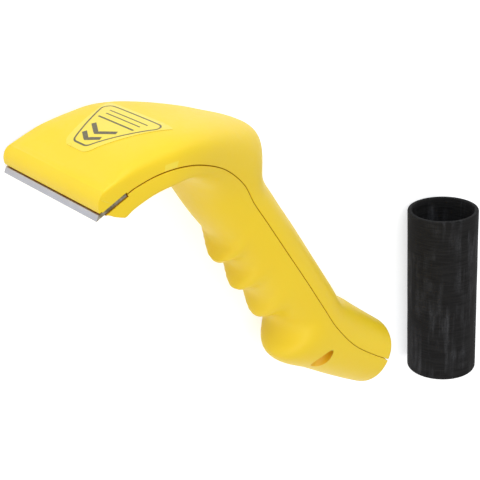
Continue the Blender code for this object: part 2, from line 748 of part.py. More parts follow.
def main():
    """Build every piece, lay the tool on its side and put the adapter beside it."""
    for thing in list(bpy.data.objects):
        bpy.data.objects.remove(thing)
    pieces = make_shells() + make_blade() + make_blade_screws() + make_case_screws() + make_label()
    down = resting_down(pieces)
    level = down.rotation_difference(ACROSS).to_matrix().to_4x4()
    lay = Matrix.Rotation(-math.pi / 2, 4, 'X') @ level
    corners = [lay @ v.co for thing, _ in pieces for v in thing.data.vertices]
    low = min(c.z for c in corners)

    adapter = make_adapter()
    mouth = lay @ section_at(len(ROW_STEPS))[0]
    turn = Matrix.Rotation(ADAPTER_TURN, 4, 'Z')
    spot = Vector((mouth.x + ADAPTER_ASIDE, mouth.y - ADAPTER_START, low + ADAPTER_DIAMETER / 2))
    place = Matrix.Translation(spot) @ turn
    corners += [place @ v.co for v in adapter.data.vertices]

    ends = [(min(c[i] for c in corners), max(c[i] for c in corners)) for i in range(3)]
    shift = Vector((-sum(ends[0]) / 2, -sum(ends[1]) / 2, -low))
    tool = bpy.data.objects.new('tool', None)
    bpy.context.collection.objects.link(tool)
    tool.matrix_world = Matrix.Translation(shift) @ lay
    loose = bpy.data.objects.new('loose', None)
    bpy.context.collection.objects.link(loose)
    loose.matrix_world = Matrix.Translation(shift) @ place
    for thing, _ in pieces:
        finish(thing, *looks_of(thing.name), tool)
    finish(adapter, *looks_of(adapter.name), loose)


main()
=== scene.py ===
"""Looks of the dust-extracting paint scraper and its loose rubber hose adapter.

The shells, blade, screws, film and tube are drawn again finely in the tool's own frame,
X from the cutting edge towards the hose, Y across, Z up out of the head's top, and are
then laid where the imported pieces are.
"""
import math

import bmesh
import bpy
import numpy as np
from mathutils import Matrix, Vector, noise


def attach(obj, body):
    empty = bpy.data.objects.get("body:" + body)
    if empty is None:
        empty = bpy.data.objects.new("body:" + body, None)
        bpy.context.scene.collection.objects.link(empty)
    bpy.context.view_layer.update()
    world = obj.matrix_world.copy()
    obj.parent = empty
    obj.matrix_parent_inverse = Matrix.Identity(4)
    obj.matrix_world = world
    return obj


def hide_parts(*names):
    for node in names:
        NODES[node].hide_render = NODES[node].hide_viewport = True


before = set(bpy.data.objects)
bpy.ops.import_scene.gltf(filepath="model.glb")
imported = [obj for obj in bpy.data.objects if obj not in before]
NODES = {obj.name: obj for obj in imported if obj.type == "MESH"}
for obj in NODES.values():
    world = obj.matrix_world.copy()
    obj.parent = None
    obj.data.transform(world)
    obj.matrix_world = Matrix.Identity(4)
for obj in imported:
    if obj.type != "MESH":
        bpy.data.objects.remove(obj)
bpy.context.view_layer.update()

# Sizes of the tool, in metres, most of them the solids' own
REACH = 0.1765
DROP = 0.1303
ARCH_RISE = 0.0110
HEAD_DEPTH = 0.018
GRIP_WIDTH = 0.038
GRIP_DEPTH = 0.031
OUTLET_DIAMETER = 0.036
SHELL_WALL = 0.0025
FINGER_RISE = 0.0065
BLADE_WIDTH = 0.0635
BLADE_DEPTH = 0.0148
BLADE_THICKNESS = 0.0015
BEVEL_RUN = 0.0018
BLADE_SLOPE = math.radians(24.7)
HEAD_WIDTH = 0.0648
HALF_HEAD = HEAD_WIDTH / 2
CHEEK_WALL = 0.0030
SEAT_PLATE = 0.0022
MOUTH_LIP = 0.0085
CHEEK_TOE = 0.0034
CHEEK_FALL = math.radians(19.4)
HEAD_RECESS_DIAMETER = 0.0082
REAR_RECESS_DIAMETER = 0.0075
HEAD_SCREW_SPACING = 0.040
REAR_SCREW_SPACING = 0.0273
RECESS_FLOOR = 0.0035
BOSS_WALL = 0.0014
HEAD_SCREW_ROW = 6.5
REAR_SCREW_ROW = 15.32
CASE_SCREW_UP = 58
CASE_HOLE_RADIUS = 0.0017
CASE_HOLE_ENDS = (-0.0050, 0.0088)
BLADE_SCREW_SPACING = 0.032
BLADE_SCREW_INSET = 0.0060
BLADE_HOLE_RADIUS = 0.0020
INSERT_RADIUS = 0.0028
INSERT_LENGTH = 0.0037
POCKET_RADIUS = 0.0031
POCKET_DEPTH = 0.0046
INSERT_BOSS_WALL = 0.0018
NOSE_RIB = 0.0009
TUBE_DIAMETER = 0.0365
TUBE_WALL = 0.0022
TUBE_LENGTH = 0.0910
GAP = 0.0003
FINE_GAP = 0.00021
TONGUE = 0.0015
TONGUE_STOP = 0.0040
OVERRUN = 0.0100
THROUGH = 2 * GRIP_DEPTH
SIDE = HALF_HEAD + OVERRUN

BLADE_ALONG = Vector((math.cos(BLADE_SLOPE), 0, math.sin(BLADE_SLOPE)))
BLADE_UP = Vector((-math.sin(BLADE_SLOPE), 0, math.cos(BLADE_SLOPE)))
ACROSS = Vector((0, 1, 0))

# Screws and inserts, as pairs of radius and height
SCREW_HEAD_HEIGHT = 0.0020
BLADE_SCREW_HEAD = ((0, 0), (0.0026, 0), (0.0031, 0.0002), (0.0032, 0.0006))
BLADE_SCREW_EDGE = 0.0001
BLADE_SCREW_TIP = ((0.0017, 0.0049), (0.0014, 0.0052), (0, 0.0052))
SOCKET_RADIUS = 0.00125
SOCKET_DEPTHS = (0.0012, 0.0014)
INSERT_BORE = 0.0020
INSERT_EDGE = 0.0001
INSERT_GROOVE = ((0.0028, 0.0015), (0.0025, 0.0017), (0.0025, 0.0020), (0.0028, 0.0022))
CASE_SCREW_HEAD = ((0, 0), (0.0016, 0), (0.0022, 0.0002), (0.0027, 0.0005), (0.0029, 0.0010))
CASE_SCREW_SHANK = 0.0014
CASE_SCREW_TIP = ((0.0005, 0.0085), (0, 0.0085))
THREAD = ((0.0012, 0), (0.0014, 0.00025), (0.0012, 0.0005))
THREAD_START = 0.0010
THREAD_PITCH = 0.0009
THREAD_TURNS = 11
CROSS_SLOT = (0.0035, 0.0009, 0.0010)
CROSS_TAPER = 0.75

# Rows down the body: parting point, share of the head and of the outlet, the back's and
# the belly's direction and reach, and the squareness of their corners
BODY = np.array((
    (0.0057, 0.1729, 1.00, 0.00, 94, 0.390, -56, 0.040, 24.0, 20.0),
    (0.0181, 0.2547, 1.00, 0.00, 97, 0.440, -63, 0.087, 18.0, 20.0),
    (0.0482, 0.4549, 1.00, 0.00, 96, 0.450, -82, 0.376, 14.0, 22.0),
    (0.0725, 0.6183, 1.00, 0.00, 91, 0.485, -91, 0.511, 9.0, 20.0),
    (0.0992, 0.7818, 1.00, 0.00, 87, 0.525, -96, 0.503, 6.0, 16.0),
    (0.1541, 0.9725, 1.00, 0.00, 80, 0.565, -101, 0.482, 4.5, 11.0),
    (0.2142, 0.9998, 0.99, 0.00, 70, 0.655, -106, 0.447, 4.2, 8.0),
    (0.2844, 0.7451, 0.82, 0.00, 58, 0.720, -125, 0.360, 3.5, 5.0),
    (0.3711, 0.0912, 0.45, 0.00, 49, 0.758, -149, 0.463, 2.9, 3.0),
    (0.4436, -0.0737, 0.16, 0.00, 42, 0.840, -162, 0.585, 2.3, 2.4),
    (0.4850, -0.1589, 0.03, 0.00, 37, 0.525, -154, 0.555, 2.1, 2.2),
    (0.5297, -0.2448, 0.00, 0.00, 34, 0.468, -146, 0.528, 2.2, 2.2),
    (0.5983, -0.3822, 0.00, 0.00, 34, 0.475, -146, 0.532, 2.2, 2.1),
    (0.6663, -0.5180, 0.00, 0.00, 34, 0.469, -146, 0.550, 2.2, 2.1),
    (0.7348, -0.6585, 0.00, 0.07, 35, 0.468, -148, 0.504, 2.2, 2.1),
    (0.7819, -0.7521, 0.00, 0.27, 29, 0.460, -152.6, 0.871, 2.1, 2.1),
    (0.8521, -0.8580, 0.00, 0.73, 53, 0.502, -144, 0.631, 2.0, 2.0),
    (0.9235, -0.9332, 0.00, 1.00, 57, 0.478, -134, 0.532, 2.0, 2.0),
    (1.0000, -1.0000, 0.00, 1.00, 59, 0.440, -118, 0.492, 2.1, 2.1),
))
BODY[:, 0] *= REACH
BODY[:, 1] *= np.where(BODY[:, 1] > 0, ARCH_RISE, DROP)
LAST = len(BODY) - 1
FINGER_ROWS = (10.92, 11.73, 12.69, 13.75)
SWELL_SKEW = 1.4
SWELL_POWER = 3.2
SWELL_TILT = 1.05
SWELL_FADE = 6
HOLLOW_ROW = 3.35
NOSE_ROWS = (1.9, 3.65)
TOP_ROWS = (2, 9)
# How the outlet's rim is rounded: rows before the last, and how far the form draws in there
RIM_ROUND = ((0.045, 0.0), (0.022, 0.0001), (0.008, 0.0003), (0.0, 0.0006))

RING_SPACING = 0.0016
WALL_STEPS = 5
TOP_STEPS = 8
CORNER_STEPS = 14
DUCT_STEPS = 3
TURN_RANGE = (9, 80)
NOSE_STEPS = 18
POCKET_STEPS = 9
SEAM_STEPS = 12
SPINE_MARKS = 1500
ROUND_FACETS = 48
SHARP_ANGLE = math.radians(34)
SHORTEST = 1e-6
WELD = 1e-7

# The seam between the shells: points close to it, and how it is pinched in
SEAM_SPOTS = (0.00014, 0.00030, 0.00050, 0.00080)
SEAM_LIMITS = (0.1, 0.2, 0.4, 0.6)
SEAM_PINCH = 0.00090
SEAM_PINCH_WIDTH = 0.00055

# The nose's rounded front: an arc in the tool's plane and a straight slope over it
NOSE_RADIUS = 0.00636
NOSE_CENTRE_X = 0.0070
NOSE_CENTRE_Z = 0.0054
NOSE_SLOPE = math.radians(33)
NOSE_FOOT = math.radians(-25)

# Small cuts and lines: the lip above the blade, the notch in the rim, the nose's end lines
LIP_DEPTH = 0.0034
LIP_RISE = 0.0008
NOTCH_LENGTH = 0.0019
NOTCH_HEIGHT = 0.0012
CHEEK_LINE = (Vector((0.00215, 0, 0.0079)), Vector((0.00576, 0, 0.00577)))
CHEEK_LINE_WIDTH = 0.00030
CHEEK_LINE_RISE = 0.00005
BLADE_EDGE = 0.00005

# The film on the head's top and its print: rules as place, line width and inset, and
# chevrons as how far they are set forward and how far they reach across
LABEL_X = 0.0285
LABEL_LENGTH = 0.0310
LABEL_WIDTH = 0.0430
LABEL_FRONT_WIDTH = 0.0151
LABEL_TAPER = (LABEL_WIDTH - LABEL_FRONT_WIDTH) / LABEL_LENGTH
LABEL_ROUND = 0.0026
FILM_HEIGHTS = (0.00003, 0.00016)
FILM_CELLS = (48, 40)
TOP_MARKS = 400
TOP_PROBE = 0.0005
PRINT_STEP = 0.0012
PRINT_FOOT = 0.00002
PRINT_HEIGHT = 0.00021
FRAME_INSET = 0.0024
FRAME_SIDE_INSET = 0.00288
FRAME_ROUND = 0.0030
FRAME_ARC = 8
FRAME_LINE = 0.00070
RULES = ((0.0318, 0.00080, 0.0046), (0.0351, 0.00055, 0.0065), (0.0378, 0.00055, 0.0065))
CHEVRONS = ((0.0, 0.0076), (0.0046, 0.0054))
CHEVRON_TIP = 0.0228
CHEVRON_LEAN = 0.55
CHEVRON_LINE = 0.0019

# The tube: its rounded ends, as steps in from a wall and from the end, and its wrap's imprint
TUBE_FACETS = 220
TUBE_ROWS = 240
BORE_ROWS = 30
TUBE_END = 0.0006
BORE_ROUND = ((0.00015, 0.0002), (0.0005, 0.0))
OUTER_ROUND = ((0.0006, 0.0), (0.0002, 0.00015), (0.00005, 0.0004))
WRAP_FROM = 0.00008
WRAP_GRAIN = (6, 120)
WRAP_LIMIT = 0.00003
LUMP_HEIGHT = 0.00010
LUMP_SHARE = 0.5
LUMP_SINK = 0.4
RIB_HEIGHT = 0.00002
RIB_PITCH = 0.0013
RIB_SHARE = 0.35
RIB_WANDER = 0.6

# Looks, lamps and the camera that the photograph was taken with
NOISE_RANGE = (0.3, 0.7)
# Painted shade: the darker tint the plastic takes in its crevices
CREVICE_SHADE = (0.44, 0.15, 0.0)
RECESS_FACING = 0.95
END_FACING = 0.9
FLOOR_GLOW = 0.60
FLOOR_RADIUS = 6.0
FLOOR_FACETS = 64
FLOOR_Z = -0.0002
AMBIENT = 0.56
LAMP_SIZE = 0.8
LAMP_AIM = (0, 0, 0.02)
CAMERA_TURN = math.radians(49.2145)
CAMERA_TIP = math.radians(24.6515)
CAMERA_SPOT = Vector((-0.20382623655, -0.34539408346, 0.16312366411))
CAMERA_LENS = 86.25


def direction(degrees):
    """Unit vector in the tool's plane, from X towards Z."""
    angle = math.radians(degrees)
    return Vector((math.cos(angle), 0, math.sin(angle)))


def section(place, inset=0.0):
    """Parting point, back and belly arms, half width and corners of one cross-section."""
    i = min(int(place), LAST - 1)
    t = place - i
    a, b, c, d = BODY[max(i - 1, 0)], BODY[i], BODY[i + 1], BODY[min(i + 2, LAST)]
    row = 0.5 * (2 * b + (c - a) * t + (2 * a - 5 * b + 4 * c - d) * t ** 2
                 + (3 * b - a - 3 * c + d) * t ** 3)
    flare, outlet = row[2], row[3]
    grip = 1 - flare - outlet
    depth = HEAD_DEPTH * flare + OUTLET_DIAMETER * outlet + GRIP_DEPTH * grip
    width = HEAD_WIDTH * flare + OUTLET_DIAMETER * outlet + GRIP_WIDTH * grip
    back = direction(row[4]) * (row[5] * depth - inset)
    belly = direction(row[6]) * (row[7] * depth - inset)
    return Vector((row[0], 0, row[1])), back, belly, width / 2 - inset, row[8], row[9]


def finger_swell(place, rise, belly):
    """Extra reach of the belly between two finger grooves, fading up the flank."""
    place += SWELL_TILT * (1 - rise)
    wave = 0.0
    for first, last in zip(FINGER_ROWS, FINGER_ROWS[1:]):
        if first < place < last:
            share = (place - first) / (last - first)
            wave = math.sin(math.pi * share ** SWELL_SKEW) ** SWELL_POWER
    return belly.normalized() * FINGER_RISE * wave * rise ** SWELL_FADE


def shares_at(corner, slant):
    """Shares of rise and spread where the outline has a slant."""
    ratio = slant ** (1 / (corner - 1))
    spread = (1 + ratio ** corner) ** (-1 / corner)
    return ratio * spread, spread


def quarter(corner, reach, half, walls, tops, pinched):
    """Shares of rise and spread from the seam to the middle of the back or belly."""
    slants = [math.tan(math.radians(a)) * reach / half for a in np.linspace(*TURN_RANGE, CORNER_STEPS)]
    turn = [shares_at(corner, slant) for slant in slants]
    rises = [0.0]
    if pinched:
        rises += [min(s / reach, turn[0][0] * limit) for s, limit in zip(SEAM_SPOTS, SEAM_LIMITS)]
    rises = rises[:-1] + list(np.linspace(rises[-1], turn[0][0], walls + 1))[:-1]
    spreads = list(np.linspace(turn[-1][1], 0, tops + 1))[1:]
    return ([(r, (1 - r ** corner) ** (1 / corner)) for r in rises] + turn
            + [((1 - s ** corner) ** (1 / corner), s) for s in spreads])


def nose_outline():
    """Everything behind the nose's rounded front, in the tool's plane."""
    curve = []
    for a in np.linspace(NOSE_FOOT, math.pi / 2 - NOSE_SLOPE, NOSE_STEPS):
        x = NOSE_CENTRE_X - NOSE_RADIUS * math.cos(a)
        curve.append(Vector((x, 0, NOSE_CENTRE_Z + NOSE_RADIUS * math.sin(a))))
    top = curve[-1] + Vector((math.cos(NOSE_SLOPE), 0, math.sin(NOSE_SLOPE))) * 2 * OVERRUN
    return [Vector((curve[0].x, 0, -REACH))] + curve + [top, Vector((top.x, 0, REACH)),
            Vector((2 * REACH, 0, REACH)), Vector((2 * REACH, 0, -REACH))]


def ring(place, walls, tops, inset=0.0, swell=True, pinched=False):
    """One closed cross-section, from the far seam over the back and under the belly."""
    seam, back, belly, half, back_corner, belly_corner = section(place, inset)
    points = []
    for arm, corner, upper in ((back, back_corner, True), (belly, belly_corner, False)):
        pairs = quarter(corner, arm.length, half, walls, tops, pinched)
        side = 1 if upper else -1
        run = [(r, side * s) for r, s in pairs] + [(r, -side * s) for r, s in pairs[-2:0:-1]]
        for rise, spread in run:
            reach = arm * rise
            if swell and not upper:
                reach = reach + finger_swell(place, rise, arm)
            point = seam + reach + ACROSS * spread * half
            away = rise * arm.length
            if pinched and away < SEAM_PINCH_WIDTH:
                depth = SEAM_PINCH * half / HALF_HEAD * (1 - away / SEAM_PINCH_WIDTH) ** 2
                point -= ACROSS * math.copysign(depth, spread)
            points.append(point)
    return points


def stations(first=0.0, spacing=RING_SPACING):
    """Places down the body about a spacing apart."""
    marks = np.linspace(first, LAST, SPINE_MARKS)
    spine = []
    for mark in marks:
        seam, back, belly, _, _, _ = section(mark)
        spine.append(seam + (back + belly) / 2)
    steps = [0.0] + [max((b - a).length, SHORTEST) for a, b in zip(spine, spine[1:])]
    run = np.cumsum(steps)
    count = int(run[-1] / spacing)
    return list(np.interp(np.linspace(0, run[-1], count + 1), run, marks))


def new_object(name, bm):
    """A new object from a bmesh, with its faces pointing out."""
    bmesh.ops.recalc_face_normals(bm, faces=bm.faces)
    mesh = bpy.data.meshes.new(name)
    bm.to_mesh(mesh)
    bm.free()
    thing = bpy.data.objects.new(name, mesh)
    bpy.context.collection.objects.link(thing)
    return thing


def loft(name, rings):
    """A closed solid through rings of equally many points."""
    bm = bmesh.new()
    loops = [[bm.verts.new(p) for p in one] for one in rings]
    count = len(loops[0])
    for one, two in zip(loops, loops[1:]):
        for k in range(count):
            n = (k + 1) % count
            bm.faces.new((one[k], one[n], two[n], two[k]))
    for loop in (loops[0], loops[-1]):
        hub = bm.verts.new((loop[0].co + loop[count // 2].co) / 2)
        for k in range(count):
            bm.faces.new((hub, loop[k], loop[(k + 1) % count]))
    return new_object(name, bm)


def prism(name, outline, low, high):
    """A flat outline in the tool's plane, carried across from low to high."""
    bm = bmesh.new()
    loops = [[bm.verts.new(Vector(p) + ACROSS * y) for p in outline] for y in (low, high)]
    for k in range(len(outline)):
        n = (k + 1) % len(outline)
        bm.faces.new((loops[0][k], loops[0][n], loops[1][n], loops[1][k]))
    for loop in loops:
        bm.faces.new(loop)
    return new_object(name, bm)


def turned(name, base, axis, profile, facets=ROUND_FACETS):
    """A solid of revolution: profile pairs of radius and height along an axis."""
    axis = axis.normalized()
    one = axis.cross(Vector((1, 0, 0)) if abs(axis.x) < 0.7 else ACROSS).normalized()
    two = axis.cross(one)
    bm = bmesh.new()
    loops = []
    for radius, height in profile:
        centre = base + axis * height
        if radius == 0:
            loops.append([bm.verts.new(centre)] * facets)
            continue
        turns = [2 * math.pi * k / facets for k in range(facets)]
        loops.append([bm.verts.new(centre + one * radius * math.cos(a) + two * radius * math.sin(a))
                      for a in turns])
    for low, high in zip(loops, loops[1:]):
        for k in range(facets):
            n = (k + 1) % facets
            bm.faces.new(list(dict.fromkeys((low[k], low[n], high[n], high[k]))))
    bmesh.ops.remove_doubles(bm, verts=bm.verts, dist=WELD)
    return new_object(name, bm)


def column(base, axis, radius, low, high):
    """A round cutter along an axis, between two heights."""
    return turned('column', base, axis, ((0, low), (radius, low), (radius, high), (0, high)))


def joined(things):
    """Several cutters that don't meet, as one object."""
    bm = bmesh.new()
    for thing in things:
        bm.from_mesh(thing.data)
        bpy.data.objects.remove(thing)
    return new_object('cutters', bm)


def combine(target, tool, operation):
    """Apply one exact Boolean to an object and remove its tool."""
    boolean = target.modifiers.new(operation, 'BOOLEAN')
    boolean.operation = operation
    boolean.solver = 'EXACT'
    boolean.object = tool
    graph = bpy.context.evaluated_depsgraph_get()
    mesh = bpy.data.meshes.new_from_object(target.evaluated_get(graph))
    target.modifiers.clear()
    target.data = mesh
    bpy.data.objects.remove(tool)
    return target


def copy_of(thing, name):
    """A separate copy of an object and its mesh."""
    twin = bpy.data.objects.new(name, thing.data.copy())
    bpy.context.collection.objects.link(twin)
    return twin


def seam_line(offset, first_x, extend=True):
    """The parting line from a little past first_x to the outlet, moved up by offset."""
    points = [section(s)[0] for s in np.linspace(0, LAST, SEAM_STEPS * LAST + 1)]
    line = []
    for i, point in enumerate(points):
        before, after = points[max(i - 1, 0)], points[min(i + 1, len(points) - 1)]
        run = (after - before).normalized()
        if point.x > first_x:
            line.append(point + Vector((-run.z, 0, run.x)) * offset)
    if extend:
        line.append(line[-1] + (line[-1] - line[-2]).normalized() * OVERRUN)
    return line


def blade_point(along, up):
    """A point in the blade's frame: along from the cutting edge, up from its flat face."""
    return BLADE_ALONG * along + BLADE_UP * up


def parting_outline(upper):
    """Outline of everything above, or below, the blade and the parting line."""
    side = 1 if upper else -1
    face = BLADE_THICKNESS + GAP if upper else -FINE_GAP
    middle = BLADE_THICKNESS / 2 + side * FINE_GAP / 2
    rear = BLADE_DEPTH + GAP
    start = [blade_point(-2 * OVERRUN, face), blade_point(rear, face), blade_point(rear, middle)]
    line = seam_line(side * FINE_GAP / 2, blade_point(rear, middle).x + 2 * TONGUE)
    end = line[-1]
    if upper:
        corners = [Vector((end.x + REACH, 0, end.z)), Vector((end.x + REACH, 0, REACH)),
                   Vector((start[0].x, 0, REACH))]
    else:
        corners = [Vector((end.x, 0, end.z - REACH)), Vector((start[0].x, 0, end.z - REACH))]
    return start + line + corners


def band_outline(low, high):
    """A band along the parting line, from behind the blade to the lip's end."""
    first = blade_point(BLADE_DEPTH, 0).x + 4 * TONGUE
    stop = section(LAST)[0]
    back = [p for p in seam_line(high, first, False) if (p - stop).length > TONGUE_STOP]
    front = [p for p in seam_line(low, first, False) if (p - stop).length > TONGUE_STOP]
    return back + front[::-1]


def case_screws():
    """Where each case screw crosses the parting line, its way up and its recess's radius."""
    screws = []
    for row, spacing, recess in ((HEAD_SCREW_ROW, HEAD_SCREW_SPACING, HEAD_RECESS_DIAMETER),
                                 (REAR_SCREW_ROW, REAR_SCREW_SPACING, REAR_RECESS_DIAMETER)):
        for side in (-1, 1):
            base = section(row)[0] + ACROSS * side * spacing / 2
            screws.append((base, direction(CASE_SCREW_UP), recess / 2))
    return screws


CASE_SCREWS = case_screws()


def blade_screw_bases():
    """Points on the blade's flat lower face where its screws pass."""
    middle = blade_point(BLADE_DEPTH - BLADE_SCREW_INSET, 0)
    return [middle + ACROSS * side * BLADE_SCREW_SPACING / 2 for side in (-1, 1)]


def nose_pockets():
    """Cutters that hollow the nose above the blade's seat."""
    floor = BLADE_THICKNESS + GAP + SEAT_PLATE
    tops = []
    for place in np.linspace(*NOSE_ROWS, POCKET_STEPS):
        seam, back, _, _, _, _ = section(place, SHELL_WALL)
        tops.append(seam + back)
    front = blade_point(tops[0].dot(BLADE_ALONG), floor)
    rear = blade_point(tops[-1].dot(BLADE_ALONG), floor)
    boss = INSERT_RADIUS + GAP + INSERT_BOSS_WALL
    screw = BLADE_SCREW_SPACING / 2
    cutters = []
    for low, high in ((NOSE_RIB, screw - boss), (screw + boss, HALF_HEAD - CHEEK_WALL)):
        for side in (-1, 1):
            ends = sorted((side * low, side * high))
            cutters.append(prism('pocket', [front, rear] + tops[::-1], *ends))
    return cutters


def slab(start, end, width):
    """Outline of a straight slab about a line in the tool's plane."""
    run = (end - start).normalized()
    rise = Vector((-run.z, 0, run.x)) * width / 2
    return [start - rise, end - rise, end + rise, start + rise]


def hollow_form(inset):
    """Rings of the duct's form, from behind the blade to the outlet mouth."""
    spots = stations(HOLLOW_ROW, 2 * RING_SPACING)
    return [ring(s, DUCT_STEPS, DUCT_STEPS, inset, swell=False) for s in spots]


def rim_notch():
    """A cutter along the parting line's last stretch, right through both walls."""
    stop = section(LAST)[0]
    line = seam_line(0, stop.x - NOTCH_LENGTH)
    start = stop - (line[-1] - line[0]).normalized() * NOTCH_LENGTH
    return prism('notch', slab(start, line[-1], NOTCH_HEIGHT), -REACH, REACH)


def cheek_lines():
    """A faint raised line across each end of the nose."""
    outline = slab(*CHEEK_LINE, CHEEK_LINE_WIDTH)
    ends = (HALF_HEAD - CHEEK_LINE_RISE, HALF_HEAD + CHEEK_LINE_RISE)
    return [prism('cheek_line', outline, *sorted(side * end for end in ends)) for side in (-1, 1)]


def outer_form():
    """The closed outside of both shells, with its rounded nose and rim."""
    rings = [ring(s, WALL_STEPS, TOP_STEPS, pinched=True) for s in stations()][:-1]
    rings += [ring(LAST - step, WALL_STEPS, TOP_STEPS, inset, pinched=True) for step, inset in RIM_ROUND]
    rings.insert(0, [p - Vector((OVERRUN / 2, 0, 0)) for p in rings[0]])
    return combine(loft('outer', rings), prism('nose', nose_outline(), -SIDE, SIDE), 'INTERSECT')


def lip_band(name, inset, high):
    """The part of the duct's form along the parting line that the tongue or its groove takes."""
    band = prism('band', band_outline(-TONGUE, high), -SIDE, SIDE)
    return combine(loft(name, hollow_form(inset)), band, 'INTERSECT')


def duct_form():
    """The duct, open at the outlet, with the case screws' bosses left standing in it."""
    rings = hollow_form(SHELL_WALL)
    back = section(LAST)[1].normalized()
    rings.append([p + Vector((back.z, 0, -back.x)) * OVERRUN for p in rings[-1]])
    bosses = [column(b, a, r + BOSS_WALL, -THROUGH, THROUGH) for b, a, r in CASE_SCREWS]
    return combine(loft('hollow', rings), joined(bosses), 'DIFFERENCE')


def cut_upper(outer, hollow):
    """The upper shell: nose, head's top, grip's back, and the seats of blade and screws."""
    upper = copy_of(outer, 'body_upper')
    combine(upper, prism('above', parting_outline(True), -SIDE, SIDE), 'INTERSECT')
    combine(upper, lip_band('groove', SHELL_WALL / 2 - GAP / 2, TONGUE + GAP), 'DIFFERENCE')
    top = BLADE_THICKNESS + LIP_RISE
    outline = [blade_point(*spot) for spot in ((-OVERRUN, BLADE_THICKNESS), (LIP_DEPTH, BLADE_THICKNESS),
                                               (LIP_DEPTH, top), (-OVERRUN, top))]
    combine(upper, prism('lip', outline, -SIDE, SIDE), 'DIFFERENCE')
    combine(upper, joined(cheek_lines()), 'UNION')
    combine(upper, copy_of(hollow, 'duct'), 'DIFFERENCE')
    low, high = BLADE_THICKNESS - OVERRUN, BLADE_THICKNESS + POCKET_DEPTH
    holes = [column(b, BLADE_UP, POCKET_RADIUS, low, high) for b in blade_screw_bases()]
    holes += [column(b, a, CASE_HOLE_RADIUS, *CASE_HOLE_ENDS) for b, a, _ in CASE_SCREWS]
    return combine(upper, joined(holes + nose_pockets()), 'DIFFERENCE')


def cut_lower(outer, hollow):
    """The lower shell: cheeks, mouth, finger swells, tongue and screw recesses."""
    lower = copy_of(outer, 'body_lower')
    combine(lower, prism('below', parting_outline(False), -SIDE, SIDE), 'INTERSECT')
    combine(lower, lip_band('tongue', SHELL_WALL / 2 + GAP / 2, TONGUE), 'UNION')
    combine(lower, hollow, 'DIFFERENCE')
    lip = blade_point(BLADE_DEPTH, 0).x + MOUTH_LIP
    roof = blade_point(BLADE_DEPTH, BLADE_THICKNESS).z
    wide = HALF_HEAD - CHEEK_WALL
    outline = [(-OVERRUN, 0, -OVERRUN), (lip, 0, -OVERRUN), (lip, 0, roof), (-OVERRUN, 0, roof)]
    combine(lower, prism('mouth', outline, -wide, wide), 'DIFFERENCE')
    toe = blade_point(CHEEK_TOE, 0)
    run = Vector((math.cos(CHEEK_FALL), 0, -math.sin(CHEEK_FALL))) * OVERRUN
    down = Vector((0, 0, -2 * OVERRUN))
    outline = [toe - run, toe + 2 * run, toe + 2 * run + down, toe - run + down]
    combine(lower, prism('cheek_cut', outline, -SIDE, SIDE), 'DIFFERENCE')
    holes = []
    for base, up, radius in CASE_SCREWS:
        steps = ((0, -THROUGH), (radius, -THROUGH), (radius, -RECESS_FLOOR),
                 (CASE_HOLE_RADIUS, -RECESS_FLOOR), (CASE_HOLE_RADIUS, OVERRUN), (0, OVERRUN))
        holes.append(turned('recess', base, up, steps))
    return combine(lower, joined(holes), 'DIFFERENCE')


def make_shells():
    """Both shells, cut from one outer form by the parting line, the lip and the duct."""
    outer = outer_form()
    hollow = duct_form()
    shells = cut_upper(outer, hollow), cut_lower(outer, hollow)
    bpy.data.objects.remove(outer)
    for shell in shells:
        combine(shell, rim_notch(), 'DIFFERENCE')
    return shells


def make_blade():
    """Flat steel blade with one ground edge and two screw holes."""
    rear, top = BLADE_DEPTH - BLADE_EDGE, BLADE_THICKNESS - BLADE_EDGE
    spots = ((0, 0), (rear, 0), (BLADE_DEPTH, BLADE_EDGE), (BLADE_DEPTH, top), (rear, BLADE_THICKNESS),
             (BEVEL_RUN, BLADE_THICKNESS))
    outline = [blade_point(*spot) for spot in spots]
    blade = prism('blade', outline, -BLADE_WIDTH / 2, BLADE_WIDTH / 2)
    holes = [column(b, BLADE_UP, BLADE_HOLE_RADIUS, -OVERRUN, OVERRUN) for b in blade_screw_bases()]
    return combine(blade, joined(holes), 'DIFFERENCE')


def make_blade_screw(name, base):
    """A socket-head screw from the mouth up through the blade."""
    low = -GAP - SCREW_HEAD_HEIGHT
    head, shank = BLADE_SCREW_HEAD[-1][0], BLADE_SCREW_TIP[0][0]
    profile = [(radius, low + height) for radius, height in BLADE_SCREW_HEAD]
    profile += [(head, -GAP - BLADE_SCREW_EDGE), (head - BLADE_SCREW_EDGE, -GAP), (shank, -GAP)]
    screw = turned(name, base, BLADE_UP, profile + list(BLADE_SCREW_TIP))
    wall, floor = SOCKET_DEPTHS
    hexagon = ((0, low - GAP), (SOCKET_RADIUS, low - GAP), (SOCKET_RADIUS, low + wall), (0, low + floor))
    return combine(screw, turned('socket', base, BLADE_UP, hexagon, 6), 'DIFFERENCE')


def make_insert(name, base):
    """A grooved brass insert that a blade screw goes into."""
    start = BLADE_THICKNESS + 2 * GAP
    top = start + INSERT_LENGTH
    edge = INSERT_RADIUS - INSERT_EDGE
    profile = [(INSERT_BORE, start), (edge, start), (INSERT_RADIUS, start + INSERT_EDGE)]
    profile += [(radius, start + height) for radius, height in INSERT_GROOVE]
    profile += [(INSERT_RADIUS, top - INSERT_EDGE), (edge, top), (INSERT_BORE, top), (INSERT_BORE, start)]
    return turned(name, base, BLADE_UP, profile)


